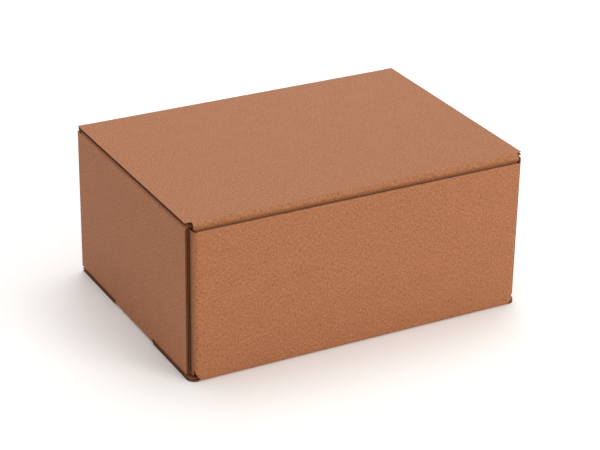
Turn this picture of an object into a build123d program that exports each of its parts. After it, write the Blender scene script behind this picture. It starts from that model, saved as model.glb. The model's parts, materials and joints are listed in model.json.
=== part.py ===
from build123d import *
from math import cos, radians, sin, tan
import os

# Roll-end, tuck-front postal box, die-cut and folded from one sheet of corrugated
# board. Millimetres, Z up, front at -Y. The origin is on the ground under the
# middle of the box. The lid is shown closed.

os.makedirs("parts", exist_ok=True)

# ---- Outside of the closed box ----
box_length = 310.0          # left to right
box_depth = 225.0           # front to back
box_height = 139.0          # ground to the lid's top

# ---- Board and folds ----
board = 3.0                 # thickness of the board
crease_radius = 0.5         # inside radius of a creased fold
layer_gap = 0.3             # air between layers that lie against each other
flap_gap = 1.5              # air between the outer wall and the corner flap behind it
slide_gap = 0.5             # room beside a flap that slides in

# ---- Side walls: folded up, rolled over and down again ----
wall_clearance = 2.0        # from the tuck flap's inside face back to their cut ends
hinged_width = 75.0         # middle stretch that is creased to the base, not cut
slit_height = 1.8           # open slit under the wall where it is cut
edge_inset = 0.3            # base's cut edge, behind the wall's face
base_corner = 7.0           # rounding of the base's two front corners
tab_width = 48.0            # locking tab at the foot of each inner wall
tab_recess = 0.4            # tab's end, above the ground

# ---- Corner flaps on the front and rear panels ----
flap_length = 70.0          # along the side walls, from the fold to the free end
flap_corner = 6.0           # rounding of the flap's free corners
relief_width = 5.0          # slanted cut at the foot of each upright fold
relief_height = 11.0

# ---- Lid and its tuck flap ----
panel_drop = 6.0            # front panel's top edge, below the lid's top
notch_inset = 5.5           # the lid's front fold, in from its side edges
notch_depth = 4.4           # the lid's front corners, behind its front fold
tuck_depth = 50.0           # tuck flap, down from the lid's top
tuck_lean = 8.0             # degrees that the flap leans into the box
tuck_shoulder = 5.0         # the flap keeps the fold's width down to here
shoulder_drop = 4.0         # height over which it then narrows to its own width
tuck_taper = 6.0            # each side of the flap runs in by this much
tuck_corner = 14.0          # rounding of the flap's free corners

# ---- Sizes that follow ----
half_length = box_length / 2
half_depth = box_depth / 2
fold_middle = crease_radius + board / 2
fold_outer = crease_radius + board
flap_outside = half_length - board - flap_gap
flap_middle = flap_outside - board / 2
inner_outside = flap_outside - board - layer_gap
inner_middle = inner_outside - board / 2
inner_inside = inner_outside - board
strip_half = flap_outside - fold_outer
wall_middle = half_length - board / 2
wall_half = half_depth - 2 * board - wall_clearance
panel_middle = half_depth - board / 2
panel_top = box_height - panel_drop
lid_middle = box_height - board / 2
lid_underside = box_height - board
roll_middle = lid_underside - layer_gap - board / 2
flap_top = roll_middle - board / 2 - layer_gap
foot = board + layer_gap
knuckle_reach = board / 2 + layer_gap


def sheet(plane, width, points):
    """Board that follows a creased line, drawn along the middle of its thickness."""
    with BuildSketch(plane) as section:
        with BuildLine():
            FilletPolyline(*points, radius=fold_middle)
        trace(line_width=board)
    extrude(section.sketch, amount=width)


def block(low, high, mode=Mode.ADD):
    """Square-edged piece of board between two opposite corners."""
    size = [top - bottom for bottom, top in zip(low, high)]
    middle = [(top + bottom) / 2 for bottom, top in zip(low, high)]
    with Locations(Vector(*middle)):
        Box(*size, mode=mode)


with BuildPart() as tray:
    # Front panel, base and rear panel are one strip, creased at the front and rear.
    sheet(
        Plane.YZ.offset(-strip_half),
        2 * strip_half,
        [
            (-panel_middle, panel_top),
            (-panel_middle, board / 2),
            (panel_middle, board / 2),
            (panel_middle, lid_middle),
        ],
    )
    # The rear panel ends in the round back of the lid's crease.
    with BuildSketch(Plane.YZ.offset(-strip_half)):
        with Locations((panel_middle, lid_middle)):
            Circle(board / 2)
    extrude(amount=2 * strip_half)

    for side in (-1, 1):
        for end in (-1, 1):
            # Corner flap, folded back between the two layers of the side wall.
            sheet(
                Plane.XY.offset(fold_outer),
                flap_top - fold_outer,
                [
                    (side * strip_half / 2, end * panel_middle),
                    (side * flap_middle, end * panel_middle),
                    (side * flap_middle, end * (half_depth - flap_length)),
                ],
            )
            # Slanted cut that frees the foot of the upright fold.
            with BuildSketch(Plane.XZ.offset(-end * half_depth)):
                with BuildLine():
                    Polyline(
                        (side * (flap_outside - relief_width), -board),
                        (side * flap_outside, relief_height),
                        (side * half_length, relief_height),
                        (side * half_length, -board),
                        close=True,
                    )
                make_face()
            extrude(amount=end * fold_outer, mode=Mode.SUBTRACT)

    # Base, out to the walls' faces where they are cut free at the front and rear.
    with BuildSketch() as base:
        Rectangle(2 * (half_length - fold_outer), 2 * (half_depth - fold_outer))
        for side in (-1, 1):
            for end in (-1, 1):
                with BuildLine():
                    Polyline(
                        (side * (flap_outside - relief_width), end * hinged_width / 2),
                        (side * (half_length - edge_inset), end * hinged_width / 2),
                        (side * (half_length - edge_inset), end * panel_middle),
                        (side * (flap_outside - relief_width), end * panel_middle),
                        close=True,
                    )
                make_face()
        corners = base.vertices().filter_by(
            lambda corner: abs(corner.X) > half_length - board
            and corner.Y < board - half_depth
        )
        fillet(corners, radius=base_corner)
    extrude(amount=board)

    for side in (-1, 1):
        roll_line = [
            (side * wall_middle, foot + slit_height),
            (side * wall_middle, roll_middle),
            (side * inner_middle, roll_middle),
            (side * inner_middle, foot),
        ]
        hinge_line = [
            (side * inner_middle, board / 2),
            (side * wall_middle, board / 2),
            (side * wall_middle, box_height / 2),
        ]
        # Outer wall, the roll over its top and the inner wall.
        sheet(Plane.XZ.offset(-wall_half), 2 * wall_half, roll_line)
        # At the rear the outer wall alone runs on, as far as the base.
        wall = sorted([side * (half_length - board), side * half_length])
        block((wall[0], wall_half, foot + slit_height), (wall[1], panel_middle, roll_middle))
        # The middle stretch is creased to the base.
        sheet(Plane.XZ.offset(-hinged_width / 2), hinged_width, hinge_line)
        # Slot in the base, with the inner wall's locking tab in it.
        slot = sorted([side * (inner_inside - layer_gap), side * (inner_outside + layer_gap)])
        tab = sorted([side * inner_inside, side * inner_outside])
        slot_half = tab_width / 2 + slide_gap
        block(
            (slot[0], -slot_half, -board),
            (slot[1], slot_half, board + layer_gap / 2),
            mode=Mode.SUBTRACT,
        )
        block((tab[0], -tab_width / 2, tab_recess), (tab[1], tab_width / 2, foot + board))

    # Rounded free corners of the corner flaps.
    for end in (-1, 1):
        free_end = end * (half_depth - flap_length)
        corners = tray.edges().filter_by(Axis.X).filter_by_position(
            Axis.Y, free_end - layer_gap / 2, free_end + layer_gap / 2
        )
        fillet(corners, radius=flap_corner)

tray.part.label = "tray"
export_step(tray.part, "parts/tray.step")

with BuildPart() as lid:
    lean = radians(tuck_lean)
    front_fold = -half_depth + board + slide_gap
    lid_rear = panel_middle - knuckle_reach
    # Where the lid's middle line and the leaning flap's middle line meet.
    fold_corner = front_fold + fold_outer - fold_middle * (1 + sin(lean)) / cos(lean)
    tuck_end = box_height - tuck_depth
    fold_half = half_length - notch_inset
    # Lid and tuck flap, creased at the front.
    sheet(
        Plane.YZ.offset(-fold_half),
        2 * fold_half,
        [
            (lid_rear, lid_middle),
            (fold_corner, lid_middle),
            (fold_corner + (lid_middle - tuck_end) * tan(lean), tuck_end),
        ],
    )
    # The lid's sides reach past the fold, to the faces of the side walls.
    lid_corner = front_fold + notch_depth
    block(
        (-half_length, lid_corner, lid_underside),
        (half_length, lid_rear, box_height),
    )
    # The flap narrows to pass between the inner walls.
    throat_half = inner_inside - slide_gap
    shoulder_top = box_height - tuck_shoulder
    shoulder_foot = shoulder_top - shoulder_drop
    with BuildSketch(Plane.XZ):
        with BuildLine():
            Polyline(
                (-fold_half, shoulder_top),
                (-throat_half, shoulder_foot),
                (tuck_taper - throat_half, tuck_end - board),
                (throat_half - tuck_taper, tuck_end - board),
                (throat_half, shoulder_foot),
                (fold_half, shoulder_top),
                (half_length + board, shoulder_top),
                (half_length + board, box_height + board),
                (-half_length - board, box_height + board),
                (-half_length - board, shoulder_top),
                close=True,
            )
        make_face()
    extrude(amount=box_depth, both=True, mode=Mode.INTERSECT)
    tips = lid.edges().filter_by(GeomType.LINE).filter_by(
        lambda edge: abs(edge.length - board) < layer_gap
        and edge.center().Z < tuck_end + board / 2
    )
    fillet(tips, radius=tuck_corner)

lid.part.label = "lid"
export_step(lid.part, "parts/lid.step")
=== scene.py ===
import json
from math import cos, pi, radians, sin, tan

import bpy
import numpy as np
from mathutils import Matrix, Vector
from mathutils.geometry import delaunay_2d_cdt


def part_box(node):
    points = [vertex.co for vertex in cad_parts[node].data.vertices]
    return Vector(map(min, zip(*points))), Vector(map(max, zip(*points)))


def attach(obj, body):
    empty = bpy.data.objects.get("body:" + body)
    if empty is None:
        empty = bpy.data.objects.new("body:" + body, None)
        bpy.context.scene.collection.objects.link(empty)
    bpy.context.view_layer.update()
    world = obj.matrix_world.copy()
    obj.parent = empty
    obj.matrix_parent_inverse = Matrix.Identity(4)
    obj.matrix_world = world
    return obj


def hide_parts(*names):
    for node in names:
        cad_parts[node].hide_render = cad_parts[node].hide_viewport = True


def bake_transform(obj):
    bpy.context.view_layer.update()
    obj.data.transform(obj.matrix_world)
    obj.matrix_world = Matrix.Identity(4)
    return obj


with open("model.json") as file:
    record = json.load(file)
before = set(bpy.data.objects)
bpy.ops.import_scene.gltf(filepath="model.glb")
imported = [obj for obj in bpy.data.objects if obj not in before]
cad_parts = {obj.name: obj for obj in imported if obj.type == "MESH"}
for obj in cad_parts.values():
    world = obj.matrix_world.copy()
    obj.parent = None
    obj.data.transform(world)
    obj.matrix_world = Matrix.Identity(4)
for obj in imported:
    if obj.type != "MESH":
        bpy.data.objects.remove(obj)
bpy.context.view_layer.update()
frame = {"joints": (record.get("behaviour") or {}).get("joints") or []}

# ---------------------------------------------------------------------------
# Camera
# A long lens looks down on the closed box past its front left corner. It is
# level but for a slight roll.
# ---------------------------------------------------------------------------
MM = 0.001
scene = bpy.context.scene
aim = Vector((2.47, 0, 58.71)) * MM
camera_distance = 1724.4 * MM
camera_azimuth = radians(-28.43)
camera_elevation = radians(25.68)
camera_roll = radians(0.87)

camera_data = bpy.data.cameras.new("camera")
camera_data.sensor_width = 36
camera_data.lens = 120.2
camera_data.clip_start = 0.05
camera_data.clip_end = 50
camera = bpy.data.objects.new("camera", camera_data)
scene.collection.objects.link(camera)
backwards = Vector((
    sin(camera_azimuth) * cos(camera_elevation),
    -cos(camera_azimuth) * cos(camera_elevation),
    sin(camera_elevation),
))
camera.location = aim + backwards * camera_distance
upright = backwards.to_track_quat("Z", "Y").to_matrix()
camera.rotation_euler = (upright @ Matrix.Rotation(camera_roll, 3, "Z")).to_euler()
scene.camera = camera

# ---------------------------------------------------------------------------
# Studio
# White paper sweep under the box, a large soft box overhead, one behind that gives
# the lid its sheen, one in front to the right, and an even white room as fill.
# ---------------------------------------------------------------------------


def linear(hex_colour):
    """Turns an sRGB hex colour such as "#b08060" into linear red, green, blue and alpha."""
    channels = [int(hex_colour[i:i + 2], 16) / 255 for i in (1, 3, 5)]
    return [c / 12.92 if c <= 0.04045 else ((c + 0.055) / 1.055) ** 2.4 for c in channels] + [1.0]


def add(tree, kind, links=None, values=None, **settings):
    """Adds one node. Links and values go to its input sockets, and settings to the node itself."""
    node = tree.nodes.new(kind)
    for name, value in settings.items():
        setattr(node, name, value)
    for key, value in (values or {}).items():
        node.inputs[key].default_value = value
    for key, output in (links or {}).items():
        tree.links.new(output, node.inputs[key])
    return node


sweep_paper = bpy.data.materials.new("white_sweep_paper")
sweep_paper.use_nodes = True
sweep_paper.node_tree.nodes.clear()
sweep_shader = add(
    sweep_paper.node_tree, "ShaderNodeBsdfPrincipled",
    values={"Base Color": linear("#fbfaf9"), "Roughness": 0.9},
)
add(
    sweep_paper.node_tree, "ShaderNodeOutputMaterial",
    links={"Surface": sweep_shader.outputs["BSDF"]},
)

sweep_reach = 8.0
sweep_mesh = bpy.data.meshes.new("sweep")
sweep_mesh.from_pydata(
    [(x * sweep_reach, y * sweep_reach, 0) for x, y in ((-1, -1), (1, -1), (1, 1), (-1, 1))],
    [], [(0, 1, 2, 3)],
)
sweep_mesh.materials.append(sweep_paper)
sweep = bpy.data.objects.new("sweep", sweep_mesh)
scene.collection.objects.link(sweep)


def soft_box(name, place, size, power, colour):
    """One square soft box that faces the middle of the box."""
    light = bpy.data.lights.new(name, "AREA")
    light.shape = "SQUARE"
    light.size = size
    light.energy = power
    light.color = linear(colour)[:3]
    lamp = bpy.data.objects.new(name, light)
    lamp.location = place
    lamp.rotation_euler = (Vector(place) - aim).to_track_quat("Z", "Y").to_euler()
    scene.collection.objects.link(lamp)


soft_box("overhead_soft_box", (0.3, 0.5, 1.9), 1.6, 16, "#ffffff")
soft_box("rear_soft_box", (1.1, 2.1, 1.15), 1.0, 8, "#ffffff")
soft_box("front_soft_box", (1.1, -1.9, 0.9), 1.2, 24, "#fffdf4")

room = bpy.data.worlds.new("white_room")
room.use_nodes = True
room.node_tree.nodes["Background"].inputs["Color"].default_value = linear("#ffffff")
room.node_tree.nodes["Background"].inputs["Strength"].default_value = 0.75
scene.world = room
scene.view_settings.view_transform = "Standard"

# ---------------------------------------------------------------------------
# Papers of the corrugated board
# Two brown kraft liners are glued to a wavy medium of rougher recycled paper. All
# are uncoated and unprinted, so they are matt, with soft clouds and fine fibres.
# ---------------------------------------------------------------------------
flute_pitch = 6.147
cloud_size = 16.0
spot_size = 1.6
fibre_width, fibre_length = 0.7, 2.4
fleck_size = 1.5


def paper(name, dark, light, cloud, fibre, relief, ridge):
    """Uncoated paper. The pattern follows the flat blank's own UV map, in real millimetres."""
    made = bpy.data.materials.new(name)
    made.use_nodes = True
    tree = made.node_tree
    tree.nodes.clear()
    blank = add(tree, "ShaderNodeUVMap", uv_map="blank")
    in_mm = add(
        tree, "ShaderNodeVectorMath", operation="SCALE",
        links={0: blank.outputs["UV"]}, values={"Scale": 1 / MM},
    )
    # Formation: the pulp settles in wide soft clouds and in small spots.
    clouds = add(
        tree, "ShaderNodeTexNoise",
        links={"Vector": in_mm.outputs[0]},
        values={"Scale": 1 / cloud_size, "Detail": 3.0, "Roughness": 0.55},
    )
    spots = add(
        tree, "ShaderNodeTexNoise",
        links={"Vector": in_mm.outputs[0]},
        values={"Scale": 1 / spot_size, "Detail": 2.0, "Roughness": 0.6},
    )
    # Single fibres lie mostly across the flutes, and are drawn coarse enough to show.
    across_flutes = add(
        tree, "ShaderNodeMapping",
        links={"Vector": in_mm.outputs[0]},
        values={
            "Scale": (1 / fibre_width, 1 / fibre_length, 1.0),
            "Rotation": (0, 0, radians(4)),
        },
    )
    fibres = add(
        tree, "ShaderNodeTexNoise",
        links={"Vector": across_flutes.outputs[0]},
        values={"Scale": 1.0, "Detail": 3.0, "Roughness": 0.65},
    )
    # Sparse darker flecks of bark.
    flecks = add(
        tree, "ShaderNodeTexNoise",
        links={"Vector": in_mm.outputs[0]},
        values={"Scale": 1 / fleck_size, "Detail": 1.0, "Roughness": 0.5},
    )
    fleck_tone = add(
        tree, "ShaderNodeMapRange",
        links={0: flecks.outputs[0]}, values={1: 0.70, 2: 0.80, 3: 0.0, 4: -0.25},
    )
    cloud_tone = add(
        tree, "ShaderNodeMath", operation="MULTIPLY_ADD",
        links={0: clouds.outputs[0]}, values={1: cloud, 2: 0.5 - cloud / 2 - fibre},
    )
    spot_tone = add(
        tree, "ShaderNodeMath", operation="MULTIPLY_ADD",
        links={0: spots.outputs[0], 2: cloud_tone.outputs[0]}, values={1: fibre},
    )
    fibre_tone = add(
        tree, "ShaderNodeMath", operation="MULTIPLY_ADD",
        links={0: fibres.outputs[0], 2: spot_tone.outputs[0]}, values={1: fibre},
    )
    tone = add(
        tree, "ShaderNodeMath", operation="ADD", use_clamp=True,
        links={0: fibre_tone.outputs[0], 1: fleck_tone.outputs[0]},
    )
    colour = add(
        tree, "ShaderNodeMix", data_type="RGBA",
        links={0: tone.outputs[0]}, values={6: linear(dark), 7: linear(light)},
    )
    # Relief: the fibres' tooth, and the faint ridges that the flutes press through the liner.
    # A wave texture of scale 1 repeats 20 times in 2 pi.
    tooth = add(
        tree, "ShaderNodeBump",
        links={"Height": fibre_tone.outputs[0]}, values={"Distance": relief * MM},
    )
    ridges = add(
        tree, "ShaderNodeTexWave", wave_type="BANDS", bands_direction="Y",
        links={"Vector": in_mm.outputs[0]},
        values={"Scale": 2 * pi / 20 / flute_pitch, "Distortion": 0.4, "Detail": 1.0},
    )
    washboard = add(
        tree, "ShaderNodeBump",
        links={"Height": ridges.outputs[1], "Normal": tooth.outputs[0]},
        values={"Distance": ridge * MM},
    )
    shader = add(
        tree, "ShaderNodeBsdfPrincipled",
        links={"Base Color": colour.outputs[2], "Normal": washboard.outputs[0]},
        values={"Roughness": 0.7, "IOR": 1.5, "Specular IOR Level": 0.3},
    )
    add(tree, "ShaderNodeOutputMaterial", links={"Surface": shader.outputs["BSDF"]})
    return made


# Smooth side of the kraft: warm brown with a fine grain and a slight sheen at a low angle.
outer_kraft = paper("kraft_liner_outside", "#7d4c2d", "#b4754e", 0.2, 1.6, 0.05, 0.02)
# Rougher side, a little greyer, seen inside the box and on the cut edges.
inner_kraft = paper("kraft_liner_inside", "#784429", "#aa6c47", 0.3, 1.2, 0.06, 0.03)
# Recycled medium, darker than both, seen only between the liners at a cut edge.
fluting = paper("recycled_fluting_medium", "#5c3522", "#87573c", 0.3, 1.2, 0.06, 0.0)

# ---------------------------------------------------------------------------
# Corrugated board
# B-flute board is a liner above, a liner below and the wavy medium between them.
# This tree makes it from a flat die-cut sheet, in millimetres, each paper closed.
# ---------------------------------------------------------------------------
hinge_y, hinge_z = (at / MM for at in frame["joints"][0]["pos_m"][1:])
tray_high = np.array(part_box("tray")[1]) / MM
lid_low, lid_high = (np.array(corner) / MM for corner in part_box("lid"))
board = 2 * (tray_high[1] - hinge_y)
liner_thickness = 0.25
medium_thickness = 0.2

board_tree = bpy.data.node_groups.new("corrugated_board", "GeometryNodeTree")
board_inputs = {
    name: board_tree.interface.new_socket(name, in_out="INPUT", socket_type=kind).identifier
    for name, kind in (
        ("Liner Sheet", "NodeSocketGeometry"),
        ("Medium Sheet", "NodeSocketObject"),
        ("Board Thickness", "NodeSocketFloat"),
        ("Liner Thickness", "NodeSocketFloat"),
        ("Medium Thickness", "NodeSocketFloat"),
        ("Flute Pitch", "NodeSocketFloat"),
        ("Outside Liner", "NodeSocketMaterial"),
        ("Inside Liner", "NodeSocketMaterial"),
        ("Medium", "NodeSocketMaterial"),
    )
}
board_tree.interface.new_socket("Board", in_out="OUTPUT", socket_type="NodeSocketGeometry")
given = add(board_tree, "NodeGroupInput").outputs


def calculate(operation, first, second):
    """One sum of the board tree. Each term is a number or another node's output."""
    terms = {0: first, 1: second}
    numbers = {i: term for i, term in terms.items() if isinstance(term, (int, float))}
    wires = {i: term for i, term in terms.items() if i not in numbers}
    return add(
        board_tree, "ShaderNodeMath", operation=operation, links=wires, values=numbers,
    ).outputs[0]


def paper_shell(sheet, height, thickness, material):
    """One paper as a closed shell: the sheet lifted to height, with its thickness above it."""
    lift = add(board_tree, "ShaderNodeCombineXYZ", links={"Z": height})
    lowest = add(
        board_tree, "GeometryNodeSetPosition",
        links={"Geometry": sheet, "Offset": lift.outputs[0]},
    )
    upwards = add(board_tree, "ShaderNodeCombineXYZ", links={"Z": thickness})
    raised = add(
        board_tree, "GeometryNodeExtrudeMesh", mode="FACES",
        links={"Mesh": lowest.outputs[0], "Offset": upwards.outputs[0]},
        values={"Individual": False},
    )
    underneath = add(board_tree, "GeometryNodeFlipFaces", links={"Mesh": lowest.outputs[0]})
    both = add(board_tree, "GeometryNodeJoinGeometry", links={0: underneath.outputs[0]})
    board_tree.links.new(raised.outputs[0], both.inputs[0])
    closed = add(
        board_tree, "GeometryNodeMergeByDistance",
        links={"Geometry": both.outputs[0]}, values={"Distance": 0.0005},
    )
    whole = add(board_tree, "GeometryNodeRealizeInstances", links={0: closed.outputs[0]})
    return add(
        board_tree, "GeometryNodeSetMaterial",
        links={"Geometry": whole.outputs[0], "Material": material},
    ).outputs[0]


half_board = calculate("MULTIPLY", given["Board Thickness"], 0.5)
outside_height = calculate("SUBTRACT", half_board, given["Liner Thickness"])
inside_height = calculate("MULTIPLY", half_board, -1.0)
half_medium = calculate("MULTIPLY", given["Medium Thickness"], 0.5)
crest = calculate("SUBTRACT", outside_height, half_medium)
place = add(board_tree, "GeometryNodeInputPosition")
across_flutes = add(board_tree, "ShaderNodeSeparateXYZ", links={0: place.outputs[0]}).outputs["Y"]
turns = calculate("DIVIDE", across_flutes, given["Flute Pitch"])
wave = calculate("SINE", calculate("MULTIPLY", turns, 2 * pi), 0.0)
medium_height = calculate("SUBTRACT", calculate("MULTIPLY", wave, crest), half_medium)
medium_sheet = add(
    board_tree, "GeometryNodeObjectInfo", links={"Object": given["Medium Sheet"]},
).outputs["Geometry"]
stack = add(board_tree, "GeometryNodeJoinGeometry")
for shell in (
    paper_shell(given["Liner Sheet"], outside_height, given["Liner Thickness"], given["Outside Liner"]),
    paper_shell(given["Liner Sheet"], inside_height, given["Liner Thickness"], given["Inside Liner"]),
    paper_shell(medium_sheet, medium_height, given["Medium Thickness"], given["Medium"]),
):
    board_tree.links.new(shell, stack.inputs[0])
add(board_tree, "NodeGroupOutput", links={0: stack.outputs[0]})

# ---------------------------------------------------------------------------
# Die-cut blank
# The whole box is cut from one flat sheet. On it, u runs from left to right and v
# from the front panel's top, over base, rear panel and lid, to the tuck flap's end.
# ---------------------------------------------------------------------------
corner_steps = 6


def rounded(corners):
    """Outline through corners (u, v, radius), each rounded by an arc where it has a radius."""
    points = []
    for i, (u, v, radius) in enumerate(corners):
        here = np.array((u, v))
        if not radius:
            points.append(here)
            continue
        before = np.array(corners[i - 1][:2]) - here
        after = np.array(corners[(i + 1) % len(corners)][:2]) - here
        before /= np.linalg.norm(before)
        after /= np.linalg.norm(after)
        half_angle = np.arccos(np.clip(before @ after, -1, 1)) / 2
        inwards = (before + after) / np.linalg.norm(before + after)
        centre = here + inwards * radius / sin(half_angle)
        start = here + before * radius / tan(half_angle) - centre
        end = here + after * radius / tan(half_angle) - centre
        swept = pi - 2 * half_angle
        for step in range(corner_steps + 1):
            share = step / corner_steps
            points.append(
                centre + (start * sin((1 - share) * swept) + end * sin(share * swept)) / sin(swept)
            )
    return points


def mirrored(right_half):
    """Whole outline from its right half, which starts and ends on the middle line."""
    return right_half + [point * (-1, 1) for point in reversed(right_half)]


def inside(points, outline):
    """True for each point that lies within the closed outline, by the even-odd rule."""
    odd = np.zeros(len(points), bool)
    for (u0, v0), (u1, v1) in zip(outline, np.roll(outline, -1, axis=0)):
        if v0 == v1:
            continue
        spans = (points[:, 1] < v0) != (points[:, 1] < v1)
        crossing = u0 + (points[:, 1] - v0) * (u1 - u0) / (v1 - v0)
        odd ^= spans & (points[:, 0] < crossing)
    return odd


def cut_sheet(name, outline, holes, guides):
    """Flat mesh of the outline less its holes, with edges along the guide lines."""
    corners, edges = [], []
    for loop in (outline, *holes):
        first = len(corners)
        corners += [Vector(point) for point in loop]
        edges += [(first + i, first + (i + 1) % len(loop)) for i in range(len(loop))]
    for start, end in guides:
        edges.append((len(corners), len(corners) + 1))
        corners += [Vector(start), Vector(end)]
    corners, _, faces, *_ = delaunay_2d_cdt(corners, edges, [], 0, 1e-4, False)
    flat = np.array([tuple(corner) for corner in corners])
    faces = np.array(faces)
    middles = flat[faces].mean(axis=1)
    kept = inside(middles, np.array(outline))
    for hole in holes:
        kept &= ~inside(middles, np.array(hole))
    mesh = bpy.data.meshes.new(name)
    used, faces = np.unique(faces[kept], return_inverse=True)
    faces = faces.reshape(-1, 3)
    flat = flat[used]
    sides = flat[faces]
    spin = np.cross(sides[:, 1] - sides[:, 0], sides[:, 2] - sides[:, 0])
    faces[spin < 0] = faces[spin < 0][:, ::-1]
    mesh.from_pydata([(u, v, 0) for u, v in flat], [], faces.tolist())
    sheet = bpy.data.objects.new(name, mesh)
    scene.collection.objects.link(sheet)
    return sheet


# ---------------------------------------------------------------------------
# Folds
# Board that is creased bends about its middle layer. Each folded line turns a
# distance on the flat blank into a place on the folded box.
# ---------------------------------------------------------------------------
crease_radius = 0.5
fold_middle = crease_radius + board / 2


def folded_line(corners, middle_run=None):
    """Line folded at each corner. Returns its bends, as pairs of distances, and a function that
    gives the place and the outward direction at each distance. Distances count from the first
    corner, or from the middle of one straight run."""
    corners = np.array(corners, float)
    runs = np.diff(corners, axis=0)
    lengths = np.linalg.norm(runs, axis=1)
    headings = np.unwrap(np.arctan2(runs[:, 1], runs[:, 0]))
    turns = np.diff(headings)
    setbacks = fold_middle * np.tan(turns / 2)
    straights = lengths - np.append(0, setbacks) - np.append(setbacks, 0)
    parts, at = [], 0.0
    for i, straight in enumerate(straights):
        start = corners[i] + runs[i] / lengths[i] * (setbacks[i - 1] if i else 0)
        parts.append((at, start, headings[i], 0.0))
        at += straight
        if i < len(turns):
            end = start + runs[i] / lengths[i] * straight
            parts.append((at, end, headings[i], 1 / fold_middle))
            at += fold_middle * turns[i]
    starts = np.array([part[0] for part in parts])
    if middle_run is not None:
        starts -= starts[2 * middle_run] + straights[middle_run] / 2
    places = np.array([part[1] for part in parts])
    bearings = np.array([part[2] for part in parts])
    bends = np.array([part[3] for part in parts])

    def follow(distance):
        part = np.clip(np.searchsorted(starts, distance, side="right") - 1, 0, len(starts) - 1)
        along = distance - starts[part]
        bend, bearing = bends[part], bearings[part]
        turned = bearing + bend * along
        round_bend = np.where(bend == 0, 1, bend)
        step_1 = np.where(
            bend == 0, np.cos(bearing) * along, (np.sin(turned) - np.sin(bearing)) / round_bend,
        )
        step_2 = np.where(
            bend == 0, np.sin(bearing) * along, (np.cos(bearing) - np.cos(turned)) / round_bend,
        )
        outwards = np.stack([np.sin(turned), -np.cos(turned)], -1)
        return places[part] + np.stack([step_1, step_2], -1), outwards

    return [tuple(starts[i:i + 2]) for i in range(1, len(starts), 2)], follow


# Front panel, base, rear panel, lid and tuck flap, in y and z.
layer_gap = 0.3
flap_gap = 1.5
slide_gap = 0.5
panel_drop = 6.0
tuck_depth = 50.0
half_length = lid_high[0]
half_depth = tray_high[1]
height = lid_high[2]
base_middle = board / 2
panel_middle = half_depth - board / 2
panel_top = height - panel_drop
lid_middle = height - board / 2
tuck_lean = radians(8)
tuck_end = height - tuck_depth
front_fold = lid_low[1]
lean_setback = fold_middle * (1 + sin(tuck_lean)) / cos(tuck_lean)
fold_corner = front_fold + board / 2 + fold_middle - lean_setback
strip_bends, follow_strip = folded_line(
    [
        (-panel_middle, panel_top),
        (-panel_middle, base_middle),
        (panel_middle, base_middle),
        (panel_middle, lid_middle),
        (fold_corner, lid_middle),
        (fold_corner + (lid_middle - tuck_end) * tan(tuck_lean), tuck_end),
    ],
    middle_run=1,
)
front_run, rear_run, lid_run, tuck_run = 0, 2, 3, 4
# Base, outer wall, roll over the top and inner wall, in x and z.
flap_outside = half_length - board - flap_gap
flap_middle = flap_outside - board / 2
inner_middle = flap_outside - board - layer_gap - board / 2
wall_middle = half_length - board / 2
roll_middle = height - board - layer_gap - board / 2
wall_foot = board + layer_gap
side_bends, follow_side = folded_line(
    [
        (0, base_middle),
        (wall_middle, base_middle),
        (wall_middle, roll_middle),
        (inner_middle, roll_middle),
        (inner_middle, 0),
    ],
)
# Front or rear panel and its corner flap, in x and inwards from the panel.
flap_length = 70.0
flap_bends, follow_flap = folded_line([(0, 0), (flap_middle, 0), (flap_middle, flap_length)])


def strip_at(run, y=None, z=None):
    """Distance v on the blank where one straight run of the strip passes depth y or height z."""
    at, ahead = (strip_bends[run - 1][1], 1.0) if run else (strip_bends[0][0], -1.0)
    (y_0, z_0), _ = follow_strip(at)
    (y_1, z_1), _ = follow_strip(at + ahead)
    share = (z - z_0) / (z_1 - z_0) if y is None else (y - y_0) / (y_1 - y_0)
    return at + share * ahead


def side_at(z, inner):
    """Distance u on the blank where the outer or the inner wall passes height z."""
    if inner:
        return side_bends[2][1] + roll_middle - fold_middle - z
    return side_bends[0][1] + z - base_middle - fold_middle


hinged_half = 75.0 / 2
slit_height = 1.8
edge_inset = 0.3
wall_clearance = 2.0
base_edge = half_length - edge_inset
wall_half = half_depth - 2 * board - wall_clearance
# Length over which the base levels out where the hinged stretch ends.
levelling = 3.0
strip_half = flap_outside - fold_middle - board / 2
pad_start = strip_half - 0.6
panel_bulge = 0.35
lid_bulge = 0.3
corner_slit = 0.2
# Room for rounding errors where a point is sorted to one side of a cut.
hair = 0.01
flap_top = roll_middle - board / 2 - layer_gap
rear_flap_top = strip_at(rear_run, z=flap_top)


def ease(share):
    """Smooth step from 0 to 1."""
    share = np.clip(share, 0, 1)
    return share * share * (3 - 2 * share)


def bow(u, v):
    """How far a panel bulges outwards between its creases."""
    rise = np.zeros_like(u)
    spans = (
        (strip_at(front_run, z=panel_top), strip_bends[0][0], panel_bulge),
        (strip_bends[1][1], strip_bends[2][0], panel_bulge),
        (strip_bends[2][1], strip_bends[3][0], lid_bulge),
    )
    for start, end, amount in spans:
        share = np.clip((v - start) / (end - start), 0, 1)
        rise += amount * np.sin(pi * share) ** 2 * np.clip(1 - (u / strip_half) ** 2, 0, 1)
    return rise


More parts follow.
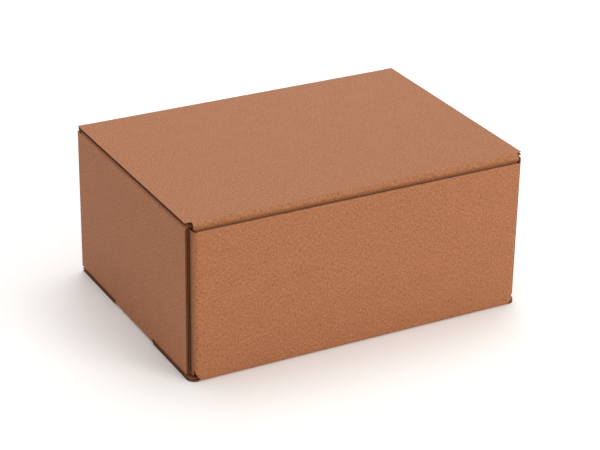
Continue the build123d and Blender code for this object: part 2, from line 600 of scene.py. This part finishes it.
def fold(flat):
    """Folds points (u, v, depth) of the flat board into the closed box."""
    u, v, depth = flat.T
    a, side, end = np.abs(u), np.sign(u), np.sign(v)
    # Strip. The lid's rear corners stay flat beside its crease.
    on_lid_corner = (a > strip_half + corner_slit / 2) & (v > rear_flap_top + hair)
    flat_on = on_lid_corner * np.maximum(strip_bends[2][1] - v, 0)
    place_yz, out_yz = follow_strip(v + flat_on)
    strip = place_yz + out_yz * (depth + bow(u, v))[:, None]
    strip[:, 0] += flat_on
    folded = np.stack([u, *strip.T], -1)
    # Base beyond the strip, and side walls. Past the roll's rear end the outer wall is straight.
    straight_on = (v > wall_half + hair) * np.maximum(a - side_bends[1][0], 0)
    place_xz, out_xz = follow_side(a - straight_on)
    walls = place_xz + out_xz * depth[:, None]
    walls[:, 1] += straight_on
    level = np.stack([a, base_middle - depth], -1)
    on_wall = a > base_edge + slit_height / 4
    cut_free = ~on_wall * ease((np.abs(v) - hinged_half) / levelling)
    walls += cut_free[:, None] * (level - walls)
    in_base = np.abs(v) <= panel_middle + hair
    beyond = in_base & (a > pad_start)
    folded[beyond] = np.stack([side * walls[:, 0], v, walls[:, 1]], -1)[beyond]
    # Corner flaps.
    place_flap, out_flap = follow_flap(a)
    in_plan = place_flap + out_flap * depth[:, None]
    flaps = np.stack([side * in_plan[:, 0], end * (panel_middle - in_plan[:, 1]), place_yz[:, 1]], -1)
    on_flap = ~in_base & (v < rear_flap_top + hair) & (a > strip_half)
    folded[on_flap] = flaps[on_flap]
    return folded


bend_steps = 6
grid_step = 12.0
flute_steps = 8


def bend_lines(bend):
    """Distances at which a bend is divided, so that it comes out round."""
    return np.linspace(*bend, bend_steps + 1)


def folded_board(name, outline, holes):
    """Board of one body: cut flat, made into corrugated board by the node tree, then folded."""
    outline = [tuple(point) for point in outline]
    low = np.min(outline, axis=0)
    high = np.max(outline, axis=0)
    # Lines that are kept in the mesh: at one u from v to v, and at one v out to both sides.
    upright = [(at, low[1], high[1]) for at in np.arange(-half_length, half_length, grid_step)]
    for mirror in (-1, 1):
        for bend in side_bends:
            upright += [(mirror * at, -wall_half, wall_half) for at in bend_lines(bend)]
        for bend in flap_bends:
            for near, far in ((-rear_flap_top, -panel_middle), (panel_middle, rear_flap_top)):
                upright += [(mirror * at, near, far) for at in bend_lines(bend)]
    level = [(at, half_length) for bend in strip_bends for at in bend_lines(bend)]
    level += [(at, half_length) for at in np.arange(low[1], high[1], grid_step)]
    level += [(at, base_edge) for at in (-hinged_half - levelling, hinged_half + levelling)]
    step = flute_pitch / flute_steps
    flutes = [(at, high[0]) for at in np.arange(round(low[1] / step), round(high[1] / step)) * step]

    def guides(level_lines):
        crossing = [(u, near, far) for u, near, far in upright if far > low[1] and near < high[1]]
        return [((u, near), (u, far)) for u, near, far in crossing] + [
            ((-reach, v), (reach, v)) for v, reach in level_lines if low[1] < v < high[1]
        ]

    liner_sheet = cut_sheet(name, outline, holes, guides(level))
    medium_sheet = cut_sheet(name + "_medium", outline, holes, guides(level + flutes))
    corrugate = liner_sheet.modifiers.new("corrugate", "NODES")
    corrugate.node_group = board_tree
    for socket, value in (
        ("Medium Sheet", medium_sheet),
        ("Board Thickness", board),
        ("Liner Thickness", liner_thickness),
        ("Medium Thickness", medium_thickness),
        ("Flute Pitch", flute_pitch),
        ("Outside Liner", outer_kraft),
        ("Inside Liner", inner_kraft),
        ("Medium", fluting),
    ):
        corrugate[board_inputs[socket]] = value
    evaluated = liner_sheet.evaluated_get(bpy.context.evaluated_depsgraph_get())
    mesh = bpy.data.meshes.new_from_object(evaluated)
    liner_sheet.modifiers.remove(corrugate)
    bpy.data.objects.remove(medium_sheet)
    flat = np.zeros(len(mesh.vertices) * 3, np.float32)
    mesh.vertices.foreach_get("co", flat)
    flat = flat.reshape(-1, 3).astype(float)
    corner_vertices = np.zeros(len(mesh.loops), np.int32)
    mesh.loops.foreach_get("vertex_index", corner_vertices)
    blank = mesh.uv_layers.new(name="blank")
    blank.data.foreach_set("uv", (flat[corner_vertices, :2] * MM).astype(np.float32).ravel())
    mesh.vertices.foreach_set("co", (fold(flat) * MM).astype(np.float32).ravel())
    mesh.flip_normals()
    mesh.update()
    mesh.shade_smooth()
    mesh.set_sharp_from_angle(angle=radians(35))
    liner_sheet.data = mesh
    return liner_sheet


# ---------------------------------------------------------------------------
# Tray
# Front panel, base, rear panel, four corner flaps and two rolled side walls. The
# flaps stand inside the rolls, and a tab at each inner wall's foot locks in a slot.
# ---------------------------------------------------------------------------
flap_end = flap_bends[0][1] + flap_length - fold_middle
foot_trim = 0.6
flap_foot = board / 2 + fold_middle + foot_trim
flap_corner = 6.0
relief_height = 11.0
relief_inset = 0.5
tab_half = 24.0
tab_end = 0.4
tab_taper = 0.5
crease_start = strip_at(rear_run, z=flap_top + 0.2)
# The cut that parts the base's corner from the front and rear folds.
cut_half = 0.1
cut_depth = 2.0
cut_point = 0.4
pad_gap = 0.8
pad_corner = 7.0
roll_notch = 0.5


def panel_side(run, top):
    """Right side of the front or rear panel with its corner flap, from the top down."""
    foot = strip_at(run, z=flap_foot)
    flap_edge = strip_at(run, z=flap_top)
    return [
        (strip_half, top, 0),
        (strip_half, flap_edge, 0),
        (flap_end, flap_edge, flap_corner),
        (flap_end, foot, flap_corner),
        (flap_bends[0][1] + 1, foot, 0),
        (flap_bends[0][1], strip_at(run, z=relief_height), 0),
        (strip_half + relief_inset, foot, 0),
    ]


def side_wall():
    """Base's right edge and the rolled side wall, from the front to the rear."""
    slit_wall = side_at(wall_foot + slit_height, inner=False)
    straight_top = side_at(roll_middle, inner=False)
    inner_foot = side_at(wall_foot, inner=True)
    tab_foot = side_at(tab_end, inner=True)
    base_corner = [
        (pad_start - cut_half, -panel_middle - cut_half, 0),
        (pad_start - cut_half, -panel_middle + cut_depth - cut_point, 0),
        (pad_start, -panel_middle + cut_depth, 0),
        (pad_start + 2 * cut_half, -panel_middle + cut_depth - cut_point, 0),
        (pad_start + pad_gap, -panel_middle, 0),
        (base_edge, -panel_middle, pad_corner),
        (base_edge, -hinged_half - cut_point, 0),
        ((base_edge + slit_wall) / 2, -hinged_half, 0),
        (slit_wall, -hinged_half - cut_point, 0),
    ]
    tab_front = [
        (inner_foot, -tab_half - tab_taper, 0),
        (tab_foot, -tab_half + tab_taper, 0),
    ]
    return [
        *base_corner,
        (slit_wall, -wall_half, 0),
        (inner_foot, -wall_half, 0),
        *tab_front,
        *[(u, -v, 0) for u, v, _ in reversed(tab_front)],
        (inner_foot, wall_half, 0),
        (side_bends[1][0], wall_half, 0),
        (straight_top, wall_half + roll_notch, 0),
        (straight_top, panel_middle, 0),
        (slit_wall, panel_middle, 0),
        *[(u, -v, 0) for u, v, _ in reversed(base_corner)],
    ]


def tray_half():
    """Right half of the tray's outline, from the front panel's top to the rear panel's."""
    front_top = strip_at(front_run, z=panel_top)
    return [
        (0, front_top, 0),
        *panel_side(front_run, front_top),
        *side_wall(),
        *reversed(panel_side(rear_run, crease_start)),
        (0, crease_start, 0),
    ]


slot_low = inner_middle - board / 2 - layer_gap
slot_high = inner_middle + board / 2 + layer_gap
slot_half = tab_half + slide_gap
slots = [
    [
        (side * slot_low, -slot_half), (side * slot_high, -slot_half),
        (side * slot_high, slot_half), (side * slot_low, slot_half),
    ]
    for side in (-1, 1)
]
tray_board = folded_board("tray_board", mirrored(rounded(tray_half())), slots)
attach(tray_board, "tray")
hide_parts("tray")

# ---------------------------------------------------------------------------
# Lid
# Top panel with its tuck flap. The flap narrows below the fold, so that it slides
# down between the rolled walls behind the front panel.
# ---------------------------------------------------------------------------
crease_reach = 3.0
corner_reach = 1.0
notch_inset = 5.5
notch_depth = 4.4
notch_slope = 0.4
ear_corner = 0.8
tuck_shoulder = 5.0
shoulder_drop = 4.0
tuck_taper = 5.6
tuck_corner = 14.0
crease_end = strip_bends[2][1] + crease_reach
lid_rear = strip_bends[2][1] - corner_reach
lid_corner = strip_at(lid_run, y=front_fold + notch_depth)
fold_half = half_length - notch_inset
throat_half = inner_middle - board / 2 - slide_gap
shoulder_top = strip_at(tuck_run, z=height - tuck_shoulder)
shoulder_foot = shoulder_top + shoulder_drop / cos(tuck_lean)
tuck_tip = strip_at(tuck_run, z=tuck_end)
tip_half = throat_half - tuck_taper
lid_board = folded_board(
    "lid_board",
    mirrored(rounded([
        (0, crease_end, 0),
        (strip_half + corner_slit, crease_end, 0),
        (strip_half + corner_slit, lid_rear, 0),
        (half_length, lid_rear, 0),
        (half_length, lid_corner, ear_corner),
        (fold_half, lid_corner + notch_slope, 0),
        (fold_half, shoulder_top, 0),
        (throat_half, shoulder_foot, 0),
        (tip_half, tuck_tip, tuck_corner),
        (0, tuck_tip, 0),
    ])),
    [],
)
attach(lid_board, "lid")
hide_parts("lid")

# ---------------------------------------------------------------------------
# Lid crease
# The strip of board creased along the rear panel's top, where the lid bends when it
# opens. It is the same sheet, made here in its closed shape only, and it sits between
# the lid and the tray.
lid_crease = folded_board(
    "lid_crease",
    mirrored(rounded([
        (0, crease_start, 0),
        (strip_half, crease_start, 0),
        (strip_half, crease_end, 0),
        (0, crease_end, 0),
    ])),
    [],
)
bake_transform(lid_crease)
